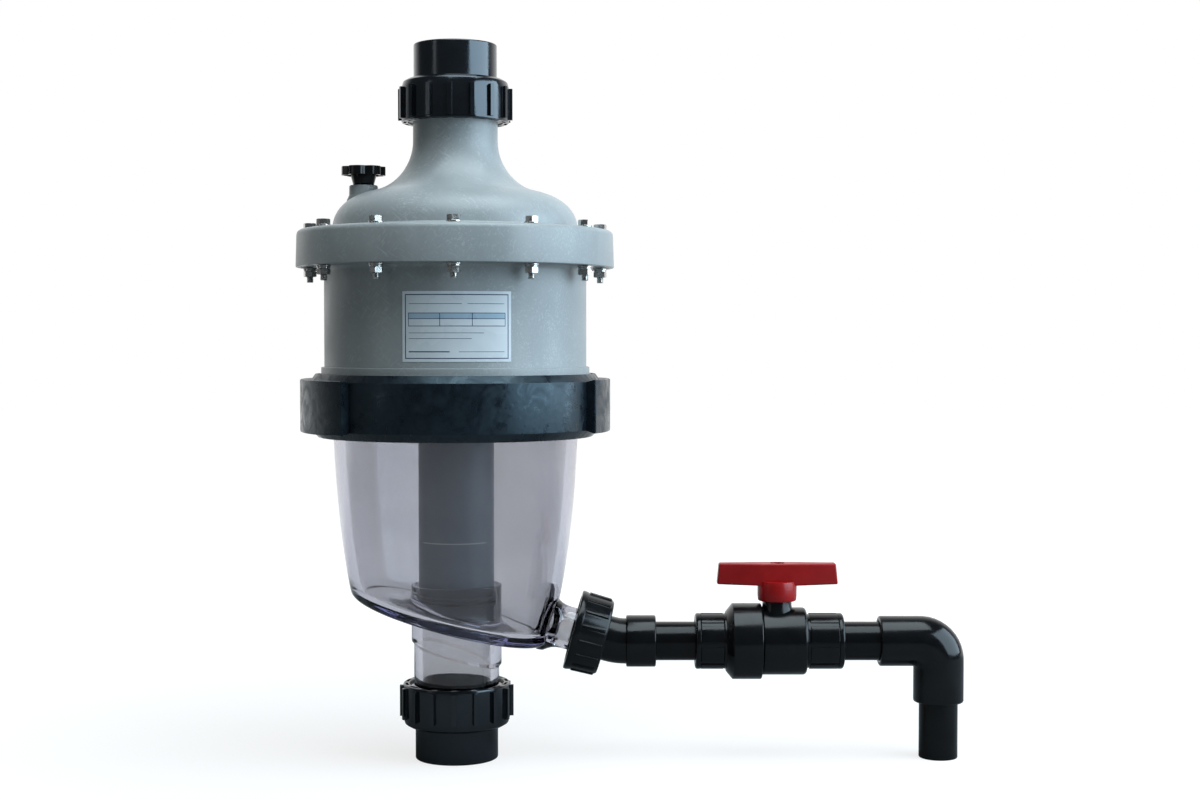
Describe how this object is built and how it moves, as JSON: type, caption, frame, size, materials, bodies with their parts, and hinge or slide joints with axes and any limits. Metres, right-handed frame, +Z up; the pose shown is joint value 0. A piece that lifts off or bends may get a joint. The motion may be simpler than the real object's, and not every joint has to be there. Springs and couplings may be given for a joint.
{
  "type": "multi-cyclone water filter",
  "caption": "Centrifugal water pre-filter: clear slanted sump under a ring of small cyclones, pipe unions top and bottom, and a side drain with ball valve and elbow.",
  "frame": {"origin": "centre of the object's bounding box at the ground that the inlet tail and the end pipe stand on", "axes": "+Z up along the vessel's axis; +X along the drain line, away from the vessel; +Y away from the picture's camera"},
  "size_m": [0.5838, 0.2764, 0.6236],
  "materials": {
    "grey_filled_plastic": "satin, glass-filled",
    "grey_tube_plastic": "satin",
    "clear_plastic": "clear, glossy",
    "black_plastic": "glossy",
    "red_plastic": "satin",
    "stainless_steel": "plain bright",
    "white_seat_plastic": "smooth",
    "seal_rubber": "matt"
  },
  "bodies": {
    "casing": {"lid": "grey_filled_plastic", "housing": "grey_filled_plastic", "cyclone_cluster": "grey_tube_plastic", "vortex_plate": "grey_tube_plastic", "inlet_tube": "grey_tube_plastic", "sump": "clear_plastic", "sump_socket": "clear_plastic", "valve_seat_inlet": "white_seat_plastic", "valve_seat_outlet": "white_seat_plastic", "outlet_union_tail": "black_plastic", "inlet_union_tail": "black_plastic", "drain_union_tail": "black_plastic", "drain_pipe_1": "black_plastic", "drain_pipe_2": "black_plastic", "drain_end_pipe": "black_plastic", "drain_elbow": "black_plastic", "valve_body": "black_plastic", "valve_end_connector": "black_plastic", "drain_union_seal": "seal_rubber", "inlet_union_seal": "seal_rubber", "outlet_union_seal": "seal_rubber", "lid_seal": "seal_rubber", "sump_seal": "seal_rubber", "tube_seal": "seal_rubber", "flange_bolt_01": "stainless_steel", "flange_nut_01": "stainless_steel", "flange_bolt_02": "stainless_steel", "flange_nut_02": "stainless_steel", "flange_bolt_03": "stainless_steel", "flange_nut_03": "stainless_steel", "flange_bolt_04": "stainless_steel", "flange_nut_04": "stainless_steel", "flange_bolt_05": "stainless_steel", "flange_nut_05": "stainless_steel", "flange_bolt_06": "stainless_steel", "flange_nut_06": "stainless_steel", "flange_bolt_07": "stainless_steel", "flange_nut_07": "stainless_steel", "flange_bolt_08": "stainless_steel", "flange_nut_08": "stainless_steel", "flange_bolt_09": "stainless_steel", "flange_nut_09": "stainless_steel", "flange_bolt_10": "stainless_steel", "flange_nut_10": "stainless_steel", "flange_bolt_11": "stainless_steel", "flange_nut_11": "stainless_steel", "flange_bolt_12": "stainless_steel", "flange_nut_12": "stainless_steel"},
    "valve_lever": {"valve_handle": "red_plastic", "valve_stem": "stainless_steel", "stem_seal": "seal_rubber", "valve_ball": "stainless_steel"},
    "bleed_plug": {"bleed_screw": "black_plastic", "bleed_seal": "seal_rubber"},
    "outlet_nut": {"outlet_union_nut": "black_plastic"},
    "inlet_nut": {"inlet_union_nut": "black_plastic"},
    "sump_ring": {"lock_ring": "black_plastic"},
    "drain_nut": {"drain_union_nut": "black_plastic"},
    "valve_nut": {"valve_union_nut": "black_plastic"}
  },
  "joints": [
    {"name": "valve_lever_turn", "type": "hinge", "parent": "casing", "child": "valve_lever", "pos_m": [0.12781, 0, 0.10262], "axis": [0, 0, 1], "range_deg": [-90, 0]},
    {"name": "bleed_screw_turn", "type": "hinge", "parent": "casing", "child": "bleed_plug", "pos_m": [-0.2348, 0.00709, 0.5023], "axis": [0, 0, 1], "range_deg": [0, 360]},
    {"name": "outlet_nut_turn", "type": "hinge", "parent": "casing", "child": "outlet_nut", "pos_m": [-0.15371, 0, 0.581], "axis": [0, 0, 1], "range_deg": [0, 360]},
    {"name": "inlet_nut_turn", "type": "hinge", "parent": "casing", "child": "inlet_nut", "pos_m": [-0.15371, 0, 0.0411], "axis": [0, 0, 1], "range_deg": [-360, 0]},
    {"name": "lock_ring_turn", "type": "hinge", "parent": "casing", "child": "sump_ring", "pos_m": [-0.15371, 0, 0.3], "axis": [0, 0, 1], "range_deg": [-360, 0]},
    {"name": "drain_nut_turn", "type": "hinge", "parent": "casing", "child": "drain_nut", "pos_m": [-0.03461, 0, 0.1086], "axis": [0.9659, 0, -0.2588], "range_deg": [0, 360]},
    {"name": "valve_nut_turn", "type": "hinge", "parent": "casing", "child": "valve_nut", "pos_m": [0.12781, 0, 0.10262], "axis": [-1, 0, 0], "range_deg": [0, 360]}
  ]
}
